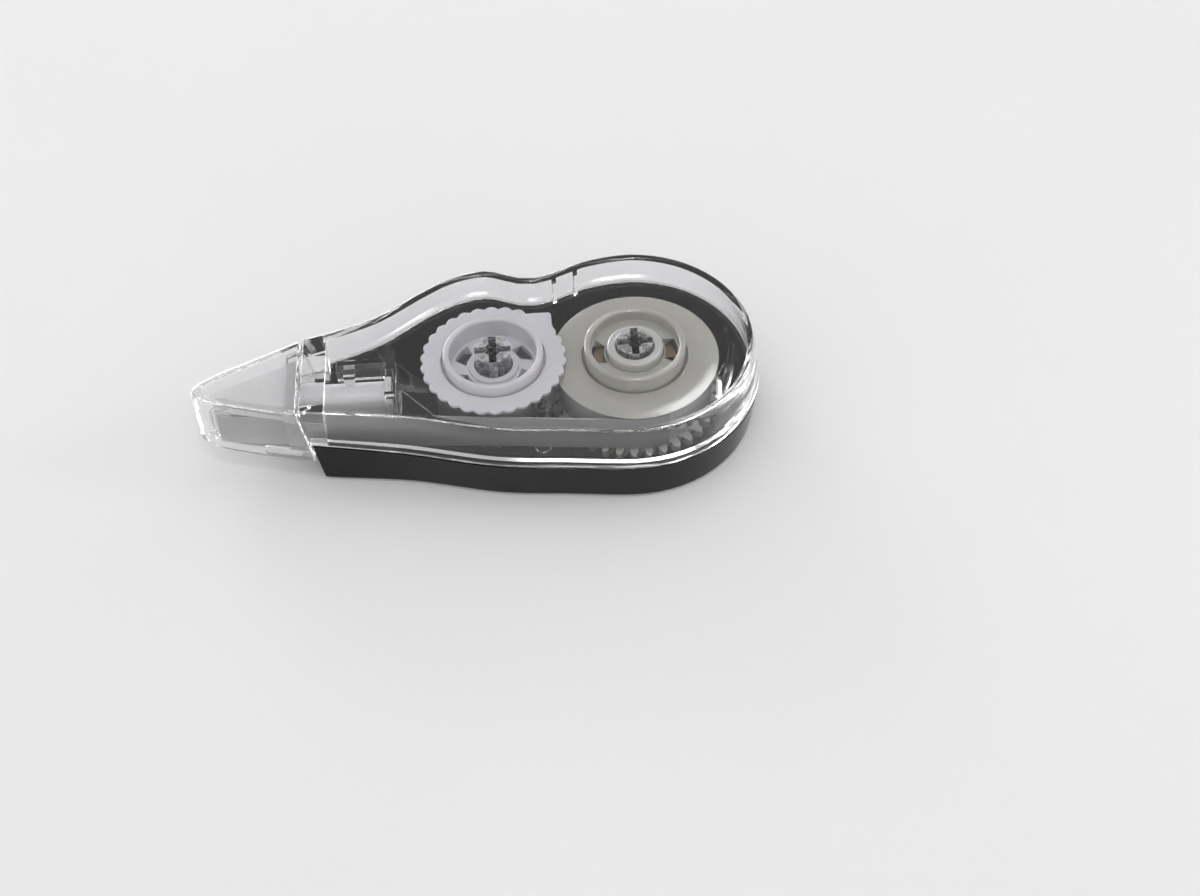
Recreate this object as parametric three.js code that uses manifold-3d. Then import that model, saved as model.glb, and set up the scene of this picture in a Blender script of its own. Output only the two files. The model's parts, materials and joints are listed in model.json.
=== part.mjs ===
// Correction tape dispenser: two geared reels in a clear-topped case, with a pull-off cap.
// Units are millimetres. +Z is up, +X runs from the applicator tip to the round tail,
// and the near side of the case is -Y. The origin lies on the flat underside of the case,
// directly below the axle of the take-up reel.
import * as THREE from 'three';
import { mergeVertices } from 'three/addons/utils/BufferGeometryUtils.js';
import Module from 'manifold-3d';

const wasm = await Module();
wasm.setup();

// Clearances
const SEAT_GAP = 0.3; // between pieces that sit on, in or against one another
const RUN_GAP = 0.1; // radial play of a reel on its axle
const FILM_GAP = 0.3; // between the film and whatever guides it

// Case heights and walls
const CASE_HEIGHT = 13.0;
const SEAM_HEIGHT = 6.5; // the joint between the two half shells
const WALL_T = 1.05;
const FLOOR_T = 1.2;
const ROOF_T = 1.1;
const WALL_DRAFT = 0.85; // how far the walls lean in from the seam to the top or the base
const EDGE_ROUND = 0.7; // rounding of the long top and bottom edges
const LIP_T = 0.45; // the lower shell's locating lip
const LIP_HEIGHT = 0.75;

// Gear train
const GEAR_MODULE = 0.62;
const SUPPLY_TEETH = 36;
const TAKE_UP_TEETH = 24;
const PRESSURE_ANGLE = THREE.MathUtils.degToRad(20);
const ADDENDUM = 0.9; // in modules
const DEDENDUM = 1.25; // in modules
const BACKLASH = 0.14;
const GEAR_T = 1.3;
const GEAR_LIFT = 0.6; // gear underside above the case floor

// Film
const FILM_WIDTH = 5.0;
const FILM_T = 0.2;
const FILM_LIFT = 0.4; // film's lower edge above the gears

// Reels
const POST_R = 2.4; // cross-shaped axle posts
const POST_RIB_T = 1.0;
const POST_CORE_R = 1.1;
const HUB_TOP_GAP = 0.3; // hub ring below the roof
const HUB_RING_WALL = 0.9;
const TAKE_UP_DRUM_R = 7.2;
const TAKE_UP_NECK_R = 6.4; // below the drum, clear of the supply gear's teeth
const TAKE_UP_RING_R = 6.6;
const TAKE_UP_ROLL_R = 8.0;
const TAKE_UP_FLANGE_R = 9.6;
const TAKE_UP_FLANGE_T = 0.5;
const TAKE_UP_SLEEVE_T = 0.8;
const TAKE_UP_WEB_T = 1.0;
const TAKE_UP_WEB_DROP = 3.0; // web's upper face below the hub ring's top
const TAKE_UP_WINDOWS = 6;
const SCALLOPS = 30;
const SCALLOP_DEPTH = 0.45;
const HORN_R = 11.2; // pointed tab on the rim of the take-up flange
const HORN_ANGLE = 45; // degrees from +X
const HORN_SPREAD = 12; // degrees to either side of its point
const SUPPLY_DRUM_R = 7.3;
const SUPPLY_RING_R = 6.7;
const SUPPLY_ROLL_R = 10.3;
const SUPPLY_FLANGE_R = 11.05;
const SUPPLY_FLANGE_T = 0.6;
const SUPPLY_SLEEVE_T = 1.25;
const SUPPLY_SLEEVE_DROP = 0.4; // sleeve's top below the hub ring's top
const SUPPLY_WEB_T = 0.7;
const SUPPLY_WEB_DROP = 1.6;
const SUPPLY_WINDOW_SPAN = 44; // degrees
const CLUTCH_HEIGHT = 2.0;
const CLUTCH_BAND_T = 0.6;
const CLUTCH_ARM_SPAN = 50; // degrees to either side of each arm's crown

// Case outline at the seam
const TAIL_R = 16.95;
const TAIL_SETBACK = 0.5; // tail's centre towards the tip from the supply axle
const TAIL_OFFSET_Y = 0.05;
const HUMP_R = 15.4; // far side, round the take-up reel
const WAIST_X = 5.4;
const WAIST_Y = 13.5;
const NECK_FAR_Y = 5.1;
const NECK_BEND_FAR_Y = 7.5;
const BELLY_NEAR_Y = 15.1;
const NECK_NEAR_Y = 11.9;
const COLLAR_REACH = 25.0; // case's front face from the take-up axle
const COLLAR_T = 3.2;
const COLLAR_SLOPE = 0.17; // the front face leans back towards the base
const COLLAR_NEAR_Y = 9.4;
const COLLAR_FAR_Y = 3.6;

// Mouth and applicator
const STEM_Y = -3.4;
const HEAD_REAR_Y = -3.0; // the head's axis leans slightly towards the near side
const HEAD_FRONT_Y = -3.75;
const MOUTH_HALF_WIDTH = 4.3;
const MOUTH_ROOF = 10.9;
const MOUTH_FLOOR = 2.0;
const STEM_WIDTH = 3.4;
const STEM_TOP = 9.9;
const STEM_BOTTOM = 4.6;
const HEAD_LENGTH = 8.9;
const HEAD_REAR_HALF = 4.2;
const HEAD_FRONT_HALF = 1.15;
const WEDGE_REAR_HALF = 2.7;
const WEDGE_FRONT_HALF = 0.55;
const HEAD_PLATE_T = 1.3;
const HEAD_TOP = 10.8;
const TONGUE_HALF = 0.6; // narrow front end of the head's upper plate
const TIP_LENGTH = 2.1;
const TIP_T = 0.5;
const TIP_EDGE_T = 0.24;
const TIP_ROOT = 1.6; // length held in the head

// Cap
const CAP_T = 0.8;
const CAP_LENGTH = 13.6;
const CAP_RUN_ON = 4; // the outline's run past the rear edge, for the slanted cut
const CAP_BOTTOM = 4.0;
const CAP_LIP_T = 0.9;
const CAP_LIP_WIDTH = 0.9;
const CAP_LIP_LENGTH = 4.8;
const CAP_REAR_NEAR_Y = 9.9;
const CAP_REAR_FAR_Y = 3.4;
const CAP_NOSE_Y = -4.4;
const CAP_NOSE_HALF = 1.95;
const SPIGOT_LENGTH = 1.6;
const SPIGOT_T = 0.6;

// Ribs and guides inside the case
const BULKHEAD_X = -13.3;
const BULKHEAD_T = 1.4;
const BULKHEAD_NEAR = 3.4; // reach from the stem's axis towards the near wall
const RETURN_POST_R = 1.0;
const RETURN_POST_X = -13.9;
const RETURN_POST_Y = 1.0;
const RAIL_LENGTH = 6.4;
const RAIL_T = 0.8;
const GUIDE_X = 5.9;
const GUIDE_Y = -7.7;
const GUIDE_SLEEVE_R = 1.25;
const GUIDE_PIN_R = 0.5;
const WALL_RIB_T = 0.6;
const WALL_RIB_DEPTH = 0.9;
const TAIL_RIB_R = 12.2; // inner radius of the curved rib beside the supply flange
const TAIL_RIB_T = 0.8;
const THRUST_RING_T = 0.8;

// Derived heights
const SEAM_LOW = SEAM_HEIGHT - SEAT_GAP / 2;
const SEAM_HIGH = SEAM_HEIGHT + SEAT_GAP / 2;
const ROOF_Z = CASE_HEIGHT - ROOF_T;
const GEAR_Z = FLOOR_T + GEAR_LIFT;
const GEAR_TOP = GEAR_Z + GEAR_T;
const FILM_Z = GEAR_TOP + FILM_LIFT;
const FILM_TOP = FILM_Z + FILM_WIDTH;
const SUPPLY_FLANGE_Z = FILM_TOP + SEAT_GAP;
const SUPPLY_FLANGE_TOP = SUPPLY_FLANGE_Z + SUPPLY_FLANGE_T;
const TAKE_UP_SHOULDER = SUPPLY_FLANGE_TOP;
const TAKE_UP_FLANGE_Z = TAKE_UP_SHOULDER + SEAT_GAP;
const HUB_TOP = ROOF_Z - HUB_TOP_GAP;
const POST_END = FLOOR_T + SEAT_GAP;

// Derived plan sizes
const SUPPLY_X = (GEAR_MODULE * (SUPPLY_TEETH + TAKE_UP_TEETH)) / 2;
const BORE_R = POST_R + RUN_GAP;
const COLLAR_X = -COLLAR_REACH;
const CAP_REAR_X = COLLAR_X - SEAT_GAP;
const CAP_NOSE_X = CAP_REAR_X - CAP_LENGTH;
const HEAD_REAR_X = COLLAR_X - 0.5;
const HEAD_FRONT_X = HEAD_REAR_X - HEAD_LENGTH;
const TIP_X = HEAD_FRONT_X - TIP_LENGTH;
const TAIL_X = SUPPLY_X - TAIL_SETBACK;
const FILM_OFFSET = FILM_GAP + FILM_T / 2; // film's middle from the surface that guides it

const REEL_SEGMENTS = 48;

// Solids

function toSolid(geometry) {
  const bare = geometry.clone();
  bare.deleteAttribute('normal');
  bare.deleteAttribute('uv');
  const merged = mergeVertices(bare, 1e-4);
  const mesh = new wasm.Mesh({
    numProp: 3,
    vertProperties: new Float32Array(merged.attributes.position.array),
    triVerts: new Uint32Array(merged.index.array),
  });
  return new wasm.Manifold(mesh);
}

function toGeometry(solid) {
  const mesh = solid.getMesh();
  const geometry = new THREE.BufferGeometry();
  geometry.setAttribute('position', new THREE.BufferAttribute(mesh.vertProperties, 3));
  geometry.setIndex(new THREE.BufferAttribute(mesh.triVerts, 1));
  geometry.computeVertexNormals();
  return geometry;
}

function joined(solids) {
  return solids.reduce((sum, next) => sum.add(next));
}

function cut(solid, tools) {
  return tools.reduce((rest, tool) => rest.subtract(tool), solid);
}

// A box between two corners.
function box(x0, x1, y0, y1, z0, z1) {
  const geometry = new THREE.BoxGeometry(x1 - x0, y1 - y0, z1 - z0);
  geometry.translate((x0 + x1) / 2, (y0 + y1) / 2, (z0 + z1) / 2);
  return toSolid(geometry);
}

// An upright prism over a plan outline given as [x, y] pairs.
function prism(points, z0, z1, holes = []) {
  const shape = new THREE.Shape(points.map(([x, y]) => new THREE.Vector2(x, y)));
  for (const hole of holes) {
    shape.holes.push(new THREE.Path(hole.map(([x, y]) => new THREE.Vector2(x, y))));
  }
  const geometry = new THREE.ExtrudeGeometry(shape, { depth: z1 - z0, bevelEnabled: false });
  geometry.translate(0, 0, z0);
  return toSolid(geometry);
}

// A solid of revolution about a vertical axis; the profile is a closed loop of [radius, z],
// listed anticlockwise.
function revolve(profile, x = 0, y = 0, segments = REEL_SEGMENTS) {
  const loop = [...profile, profile[0]].map(([r, z]) => new THREE.Vector2(r, z));
  const geometry = new THREE.LatheGeometry(loop, segments);
  geometry.rotateX(Math.PI / 2);
  geometry.translate(x, y, 0);
  return toSolid(geometry);
}

function tube(inner, outer, z0, z1, x = 0, y = 0, segments = REEL_SEGMENTS) {
  return revolve([[inner, z0], [outer, z0], [outer, z1], [inner, z1]], x, y, segments);
}

function disc(radius, z0, z1, x = 0, y = 0, segments = REEL_SEGMENTS) {
  return revolve([[0, z0], [radius, z0], [radius, z1], [0, z1]], x, y, segments);
}

// A wedge of a ring, used to cut windows.
function ringSector(inner, outer, middle, span, z0, z1, x = 0, y = 0) {
  const steps = Math.max(4, Math.round(span / 8));
  const outerArc = [];
  const innerArc = [];
  for (let i = 0; i <= steps; i += 1) {
    const angle = THREE.MathUtils.degToRad(middle - span / 2 + (span * i) / steps);
    outerArc.push([x + outer * Math.cos(angle), y + outer * Math.sin(angle)]);
    innerArc.unshift([x + inner * Math.cos(angle), y + inner * Math.sin(angle)]);
  }
  return prism([...outerArc, ...innerArc], z0, z1);
}

// Plan outlines and lofts

function polar(cx, cy, radius, degrees) {
  const angle = THREE.MathUtils.degToRad(degrees);
  return [cx + radius * Math.cos(angle), cy + radius * Math.sin(angle)];
}

// Evenly spaced points on a smooth curve through the given [x, y] pairs.
function smooth(points, count) {
  const path = points.map(([x, y]) => new THREE.Vector3(x, y, 0));
  const curve = new THREE.CatmullRomCurve3(path, false, 'centripetal');
  return curve.getSpacedPoints(count).map((p) => [p.x, p.y]);
}

// Moves every edge of an anticlockwise loop inwards; the amount may vary from point to point.
function inset(loop, amount) {
  const n = loop.length;
  return loop.map(([x, y], i) => {
    const [ax, ay] = loop[(i + n - 1) % n];
    const [bx, by] = loop[(i + 1) % n];
    const before = new THREE.Vector2(ay - y, x - ax).normalize();
    const after = new THREE.Vector2(y - by, bx - x).normalize();
    const distance = typeof amount === 'function' ? amount(x) : amount;
    const reach = distance / (1 + before.dot(after));
    return [x + (before.x + after.x) * reach, y + (before.y + after.y) * reach];
  });
}

// A closed solid through stacked loops, each a pair of height and [x, y] points.
function loft(layers) {
  const n = layers[0].loop.length;
  const positions = layers.flatMap(({ z, loop }) => loop.flatMap(([x, y]) => [x, y, z]));
  const index = [];
  for (let k = 0; k + 1 < layers.length; k += 1) {
    for (let i = 0; i < n; i += 1) {
      const a = k * n + i;
      const b = k * n + ((i + 1) % n);
      index.push(a, b, b + n, a, b + n, a + n);
    }
  }
  const capOf = (layer) => {
    const contour = layer.loop.map(([x, y]) => new THREE.Vector2(x, y));
    return THREE.ShapeUtils.triangulateShape(contour, []);
  };
  for (const [a, b, c] of capOf(layers[0])) index.push(c, b, a);
  const last = (layers.length - 1) * n;
  for (const [a, b, c] of capOf(layers[layers.length - 1])) index.push(last + a, last + b, last + c);
  const geometry = new THREE.BufferGeometry();
  geometry.setAttribute('position', new THREE.Float32BufferAttribute(positions, 3));
  geometry.setIndex(index);
  return toSolid(geometry);
}

// The case's outline at the seam: near side, tail, waist, hump, neck and the straight front.
function caseOutline() {
  const tail = [];
  for (let degrees = -84; degrees <= 108; degrees += 24) {
    tail.push(polar(TAIL_X, TAIL_OFFSET_Y, TAIL_R, degrees));
  }
  const points = [
    [COLLAR_X, -COLLAR_NEAR_Y],
    [COLLAR_X / 2, -NECK_NEAR_Y],
    [0, -BELLY_NEAR_Y],
    [SUPPLY_X * 0.45, -(BELLY_NEAR_Y + TAIL_R) / 2],
    ...tail,
    [WAIST_X, WAIST_Y],
    polar(0, 0, HUMP_R, 92),
    polar(0, 0, HUMP_R, 112),
    polar(0, 0, HUMP_R, 130),
    [COLLAR_X * 0.62, NECK_BEND_FAR_Y],
    [COLLAR_X * 0.82, NECK_FAR_Y],
    [COLLAR_X, COLLAR_FAR_Y],
  ];
  return smooth(points, 84);
}

// The walls stand upright at the collar and lean in more and more towards the tail.
function lean(x) {
  return THREE.MathUtils.smoothstep(x, COLLAR_X, COLLAR_X / 3);
}

// Inward lean of the case wall at a height, as a share of the full draft.
function draftAt(z) {
  const share = z > SEAM_HEIGHT
    ? (z - SEAM_HEIGHT) / (CASE_HEIGHT - SEAM_HEIGHT)
    : (SEAM_HEIGHT - z) / SEAM_HEIGHT;
  return WALL_DRAFT * share;
}

function caseLayer(outline, z, extra) {
  return { z, loop: inset(outline, (x) => extra + draftAt(z) * lean(x)) };
}

// The cap's plan outline; it runs past the cap's rear edge, which is cut on a slant.
function capOutline() {
  const span = CAP_REAR_X - CAP_NOSE_X;
  const mid = CAP_REAR_X - span * 0.45;
  const front = CAP_REAR_X - span * 0.86;
  return smooth([
    [CAP_REAR_X + CAP_RUN_ON, CAP_REAR_FAR_Y + CAP_RUN_ON / 2],
    [CAP_REAR_X, CAP_REAR_FAR_Y],
    [mid, (CAP_REAR_FAR_Y + CAP_NOSE_Y) / 2 + 0.9],
    [front, CAP_NOSE_Y + CAP_NOSE_HALF],
    [CAP_NOSE_X, CAP_NOSE_Y],
    [front, CAP_NOSE_Y - CAP_NOSE_HALF],
    [mid, -(CAP_REAR_NEAR_Y - CAP_NOSE_Y) / 2 - 1.2],
    [CAP_REAR_X, -CAP_REAR_NEAR_Y],
    [CAP_REAR_X + CAP_RUN_ON, -CAP_REAR_NEAR_Y - CAP_RUN_ON / 8],
  ], 50);
}

// The cap's outline moved inwards, open at the rear.
function capLoop(amount) {
  return inset(capOutline(), amount).slice(1, -1);
}

// The same without the narrow nose.
function capInside(amount, noseX) {
  return capLoop(amount).filter(([x]) => x > noseX);
}

// Gears

function involute(angle) {
  return Math.tan(angle) - angle;
}

// A spur gear outline with a tooth centred on the given angle.
function gearOutline(teeth, phase, cx) {
  const pitchR = (GEAR_MODULE * teeth) / 2;
  const baseR = pitchR * Math.cos(PRESSURE_ANGLE);
  const tipR = pitchR + ADDENDUM * GEAR_MODULE;
  const rootR = pitchR - DEDENDUM * GEAR_MODULE;
  const halfAtPitch = Math.PI / (2 * teeth) - BACKLASH / (4 * pitchR);
  const flankStart = Math.max(baseR, rootR);
  const flank = [flankStart, (flankStart + tipR) / 2, tipR].map((r) => {
    const half = halfAtPitch + involute(PRESSURE_ANGLE) - involute(Math.acos(baseR / r));
    return [r, half];
  });
  const points = [];
  for (let i = 0; i < teeth; i += 1) {
    const middle = phase + (i * 2 * Math.PI) / teeth;
    const side = [[rootR, flank[0][1]], ...flank];
    for (const [r, half] of side) points.push([r, middle - half]);
    for (const [r, half] of side.reverse()) points.push([r, middle + half]);
  }
  return points.map(([r, a]) => [cx + r * Math.cos(a), r * Math.sin(a)]);
}

function circle(cx, cy, radius, segments = REEL_SEGMENTS) {
  const points = [];
  for (let i = 0; i < segments; i += 1) {
    points.push(polar(cx, cy, radius, (i * 360) / segments));
  }
  return points;
}

function gearPlate(teeth, phase, cx) {
  return prism(gearOutline(teeth, phase, cx), GEAR_Z, GEAR_TOP, [circle(cx, 0, BORE_R)]);
}

// Case

// Cross-shaped axle post that hangs from the roof into the floor's thrust ring.
function axlePost(cx) {
  const half = POST_RIB_T / 2;
  const reach = Math.sqrt(POST_R ** 2 - half ** 2);
  const top = ROOF_Z + ROOF_T / 2;
  return joined([
    box(cx - reach, cx + reach, -half, half, POST_END, top),
    box(cx - half, cx + half, -reach, reach, POST_END, top),
    disc(POST_CORE_R, POST_END, top, cx, 0, 16),
  ]);
}

// Everything ahead of a plane parallel to the collar's leaning front face.
function aheadOfCollar(gap) {
  const plane = (z) => COLLAR_X - gap + COLLAR_SLOPE * (CASE_HEIGHT - z);
  const shape = new THREE.Shape([
    new THREE.Vector2(-60, -2),
    new THREE.Vector2(plane(-2), -2),
    new THREE.Vector2(plane(CASE_HEIGHT + 2), CASE_HEIGHT + 2),
    new THREE.Vector2(-60, CASE_HEIGHT + 2),
  ]);
  const geometry = new THREE.ExtrudeGeometry(shape, { depth: 80, bevelEnabled: false });
  geometry.rotateX(Math.PI / 2);
  geometry.translate(0, 40, 0);
  return toSolid(geometry);
}

function mouthCutter() {
  return box(COLLAR_X - 1, COLLAR_X + COLLAR_T + 0.5, HEAD_REAR_Y - MOUTH_HALF_WIDTH,
    HEAD_REAR_Y + MOUTH_HALF_WIDTH, MOUTH_FLOOR, MOUTH_ROOF);
}

// Everything behind the collar, used to end the cavity and the lip there.
function behindCollar(gap) {
  return box(COLLAR_X + COLLAR_T + gap, 60, -40, 40, -1, CASE_HEIGHT + 1);
}

// Clear U-shaped sleeve in front of the collar that the cap slides over.
function capSpigot() {
  const low = CAP_BOTTOM + CAP_LIP_T + SEAT_GAP;
  const high = CASE_HEIGHT - CAP_T - SEAT_GAP;
  const front = CAP_REAR_X - SPIGOT_LENGTH;
  const outside = capInside(CAP_T + SEAT_GAP, front - 2);
  const inside = capInside(CAP_T + SEAT_GAP + SPIGOT_T, front - 2);
  const body = loft([{ z: low, loop: outside }, { z: high, loop: outside }]);
  const hollow = loft([{ z: low - 1, loop: inside }, { z: high - SPIGOT_T, loop: inside }]);
  const sleeve = cut(body, [
    hollow,
    box(front - 30, front, -40, 40, 0, 20),
    box(COLLAR_X + 1.5, 40, -40, 40, 0, 20),
  ]);
  const behindFace = box(front, 40, -40, 40, 0, SEAM_HIGH).subtract(aheadOfCollar(SEAT_GAP));
  return sleeve.subtract(behindFace);
}

// Bulkhead, return post, rail and hook round the applicator's stem.
function stemCradle() {
  const near = STEM_Y - BULKHEAD_NEAR;
  const left = BULKHEAD_X - BULKHEAD_T / 2;
  const right = BULKHEAD_X + BULKHEAD_T / 2;
  const roof = ROOF_Z + ROOF_T / 2;
  const stemHalf = STEM_WIDTH / 2 + SEAT_GAP;
  const railY = STEM_Y + STEM_WIDTH / 2 + 0.5;
  const hookX = left - RAIL_LENGTH * 0.72;
  const window = box(left - 1, BULKHEAD_X + 0.3, STEM_Y - stemHalf, STEM_Y + stemHalf,
    STEM_BOTTOM - SEAT_GAP, STEM_TOP + SEAT_GAP);
  const bulkhead = box(left, right, near, RETURN_POST_Y, FILM_Z - 0.2, roof);
  return joined([
    bulkhead.subtract(window),
    disc(RETURN_POST_R, FILM_Z - 0.2, roof, RETURN_POST_X, RETURN_POST_Y, 20),
    box(left - RAIL_LENGTH, left + 0.1, railY, railY + RAIL_T, STEM_TOP - 1.0, roof),
    box(hookX - 0.7, hookX + 0.7, STEM_Y, railY + 0.1, STEM_TOP + SEAT_GAP, roof),
  ]);
}

function upperShell(outline) {
  const outer = loft([
    caseLayer(outline, SEAM_HIGH, 0),
    caseLayer(outline, CASE_HEIGHT - 2 * EDGE_ROUND, 0),
    caseLayer(outline, CASE_HEIGHT - EDGE_ROUND * 0.75, EDGE_ROUND * 0.08),
    caseLayer(outline, CASE_HEIGHT - EDGE_ROUND * 0.25, EDGE_ROUND * 0.36),
    caseLayer(outline, CASE_HEIGHT, EDGE_ROUND),
  ]);
  const cavity = loft([
    caseLayer(outline, SEAM_LOW - 1, WALL_T),
    caseLayer(outline, ROOF_Z, WALL_T),
  ]).intersect(behindCollar(0));
  const rebateDepth = WALL_T - LIP_T - SEAT_GAP;
  const rebate = loft([
    caseLayer(outline, SEAM_LOW - 1, rebateDepth),
    caseLayer(outline, SEAM_LOW + LIP_HEIGHT + SEAT_GAP, rebateDepth),
  ]).intersect(behindCollar(0));
  return cut(outer, [cavity, rebate, mouthCutter(), aheadOfCollar(0)]);
}

// Two short upright ribs on the far wall, at the waist.
function wallRibs(outline) {
  const filled = loft([
    caseLayer(outline, SEAM_LOW + LIP_HEIGHT + 2 * SEAT_GAP, WALL_T / 2),
    caseLayer(outline, ROOF_Z + ROOF_T / 2, WALL_T / 2),
  ]);
  const inner = (z) => {
    const { loop } = caseLayer(outline, z, WALL_T + WALL_RIB_DEPTH);
    return { z, loop: loop.slice(3, -3) };
  };
  const inside = loft([inner(SEAM_LOW), inner(CASE_HEIGHT)]);
  return [WAIST_X + 3.2, WAIST_X + 6.1].map((x) => filled
    .intersect(box(x - WALL_RIB_T / 2, x + WALL_RIB_T / 2, 4, 40, 0, 20))
    .subtract(inside));
}

function upperCase() {
  const outline = caseOutline();
  const tailRib = ringSector(TAIL_RIB_R, TAIL_RIB_R + TAIL_RIB_T, -21, 28,
    SEAM_LOW + LIP_HEIGHT + 2 * SEAT_GAP, ROOF_Z + ROOF_T / 2, SUPPLY_X);
  return joined([
    upperShell(outline),
    axlePost(0),
    axlePost(SUPPLY_X),
    capSpigot(),
    stemCradle(),
    tailRib,
    ...wallRibs(outline),
  ]);
}

function lowerCase() {
  const outline = caseOutline();
  const outer = loft([
    caseLayer(outline, 0, EDGE_ROUND),
    caseLayer(outline, EDGE_ROUND * 0.3, EDGE_ROUND * 0.3),
    caseLayer(outline, EDGE_ROUND, 0),
    caseLayer(outline, SEAM_LOW, 0),
  ]);
  const cavity = loft([
    caseLayer(outline, FLOOR_T, WALL_T),
    caseLayer(outline, CASE_HEIGHT, WALL_T),
  ]).intersect(behindCollar(0));
  const lipBand = loft([
    caseLayer(outline, SEAM_LOW - 0.5, WALL_T - LIP_T),
    caseLayer(outline, SEAM_LOW + LIP_HEIGHT, WALL_T - LIP_T),
  ]).intersect(behindCollar(SEAT_GAP));
  const shell = cut(outer.add(lipBand), [cavity, mouthCutter(), aheadOfCollar(0)]);
  const guideTop = SUPPLY_FLANGE_TOP - SEAT_GAP;
  const ringBore = POST_R + SEAT_GAP;
  const thrustRings = [0, SUPPLY_X].map((x) => tube(ringBore, ringBore + THRUST_RING_T,
    FLOOR_T / 2, GEAR_Z - SEAT_GAP, x, 0, 32));
  const guidePin = disc(GUIDE_PIN_R, FLOOR_T / 2, guideTop, GUIDE_X, GUIDE_Y, 12);
  return joined([shell, guidePin, ...thrustRings]);
}

// Clear sleeve pressed over the guide pin; the film's outgoing run bears on it.
function filmGuideSleeve() {
  return tube(GUIDE_PIN_R + SEAT_GAP, GUIDE_SLEEVE_R, FLOOR_T + SEAT_GAP,
    SUPPLY_FLANGE_TOP - SEAT_GAP, GUIDE_X, GUIDE_Y, 20);
}

// Cap

function cap() {
  const layer = (z, extra) => ({ z, loop: capLoop(extra) });
  const lipTop = CAP_BOTTOM + CAP_LIP_T;
  const lipFront = CAP_REAR_X - CAP_LIP_LENGTH;
  const outer = loft([
    layer(CAP_BOTTOM, 0.15),
    layer(CAP_BOTTOM + 0.25, 0),
    layer(CASE_HEIGHT - EDGE_ROUND, 0),
    layer(CASE_HEIGHT - EDGE_ROUND * 0.3, EDGE_ROUND * 0.3),
    layer(CASE_HEIGHT, EDGE_ROUND),
  ]);
  const inside = capInside(CAP_T, CAP_NOSE_X + 1.6 * CAP_T);
  const lipEdge = capInside(CAP_T + CAP_LIP_WIDTH, lipFront - 2);
  const hollow = loft([{ z: lipTop, loop: inside }, { z: CASE_HEIGHT - CAP_T, loop: inside }]);
  const slot = loft([{ z: CAP_BOTTOM - 1, loop: lipEdge }, { z: lipTop + 0.5, loop: lipEdge }]);
  const noseOpening = loft([{ z: CAP_BOTTOM - 1, loop: inside }, { z: lipTop + 0.5, loop: inside }])
    .intersect(box(CAP_NOSE_X - 1, lipFront, -40, 40, 0, 20));
  return cut(outer, [hollow, slot, noseOpening]).intersect(aheadOfCollar(SEAT_GAP));
}

// Applicator

// The head's middle line in plan.
function axisY(x) {
  const share = (HEAD_REAR_X - x) / HEAD_LENGTH;
  return HEAD_REAR_Y + (HEAD_FRONT_Y - HEAD_REAR_Y) * share;
}

// A plan point beside the head's middle line.
function beside(x, offset) {
  return [x, axisY(x) + offset];
}

function taper(rearHalf, frontHalf, z0, z1) {
  return prism([
    beside(HEAD_FRONT_X, -frontHalf),
    beside(HEAD_REAR_X, -rearHalf),
    beside(HEAD_REAR_X, rearHalf),
    beside(HEAD_FRONT_X, frontHalf),
  ], z0, z1);
}

// Bar with a rounded top that runs back through the mouth into the bulkhead.
function stem() {
  const half = STEM_WIDTH / 2;
  const shoulder = STEM_TOP - half * 0.7;
  const section = [[-half, STEM_BOTTOM], [half, STEM_BOTTOM]];
  for (let i = 0; i <= 8; i += 1) {
    const angle = (Math.PI * i) / 8;
    section.push([half * Math.cos(angle), shoulder + (STEM_TOP - shoulder) * Math.sin(angle)]);
  }
  const shape = new THREE.Shape(section.map(([u, v]) => new THREE.Vector2(u, v)));
  const start = HEAD_REAR_X - 1;
  const geometry = new THREE.ExtrudeGeometry(shape, {
    depth: BULKHEAD_X - start,
    bevelEnabled: false,
  });
  geometry.rotateX(Math.PI / 2);
  geometry.rotateZ(Math.PI / 2);
  geometry.translate(start, STEM_Y, 0);
  return toSolid(geometry);
}

function applicatorHead() {
  const lowPlate = FILM_Z - FILM_GAP - HEAD_PLATE_T;
  const highPlate = FILM_TOP + FILM_GAP;
  const tongue = prism([
    beside(HEAD_FRONT_X + 1, -HEAD_FRONT_HALF),
    beside(HEAD_FRONT_X + 1, HEAD_FRONT_HALF),
    ...arc(TIP_X + TONGUE_HALF, axisY(TIP_X), TONGUE_HALF, 90, 270, 6),
  ], HEAD_TOP - HEAD_PLATE_T, HEAD_TOP);
  const slotHalf = TIP_T / 2 + SEAT_GAP;
  const slotZ = SEAT_GAP + 0.2;
  const slotEnd = HEAD_FRONT_X + TIP_ROOT + SEAT_GAP;
  const tipSlot = prism([
    beside(HEAD_FRONT_X - 1, -slotHalf),
    beside(slotEnd, -slotHalf),
    beside(slotEnd, slotHalf),
    beside(HEAD_FRONT_X - 1, slotHalf),
  ], FILM_Z - slotZ, FILM_TOP + slotZ);
  return joined([
    taper(HEAD_REAR_HALF, HEAD_FRONT_HALF, lowPlate, FILM_Z - FILM_GAP),
    taper(HEAD_REAR_HALF, HEAD_FRONT_HALF, highPlate, HEAD_TOP),
    tongue,
    taper(WEDGE_REAR_HALF, WEDGE_FRONT_HALF + SEAT_GAP, FILM_Z - FILM_GAP - 0.1, highPlate + 0.1),
    stem(),
  ]).subtract(tipSlot);
}

// Springy clear blade whose front edge presses the film on to the paper.
function applicatorTip() {
  const half = TIP_T / 2;
  return prism([
    beside(TIP_X, -TIP_EDGE_T / 2),
    beside(TIP_X + 0.5, -half),
    beside(HEAD_FRONT_X + TIP_ROOT, -half),
    beside(HEAD_FRONT_X + TIP_ROOT, half),
    beside(TIP_X + 0.5, half),
    beside(TIP_X, TIP_EDGE_T / 2),
  ], FILM_Z, FILM_TOP);
}

// Film

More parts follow.
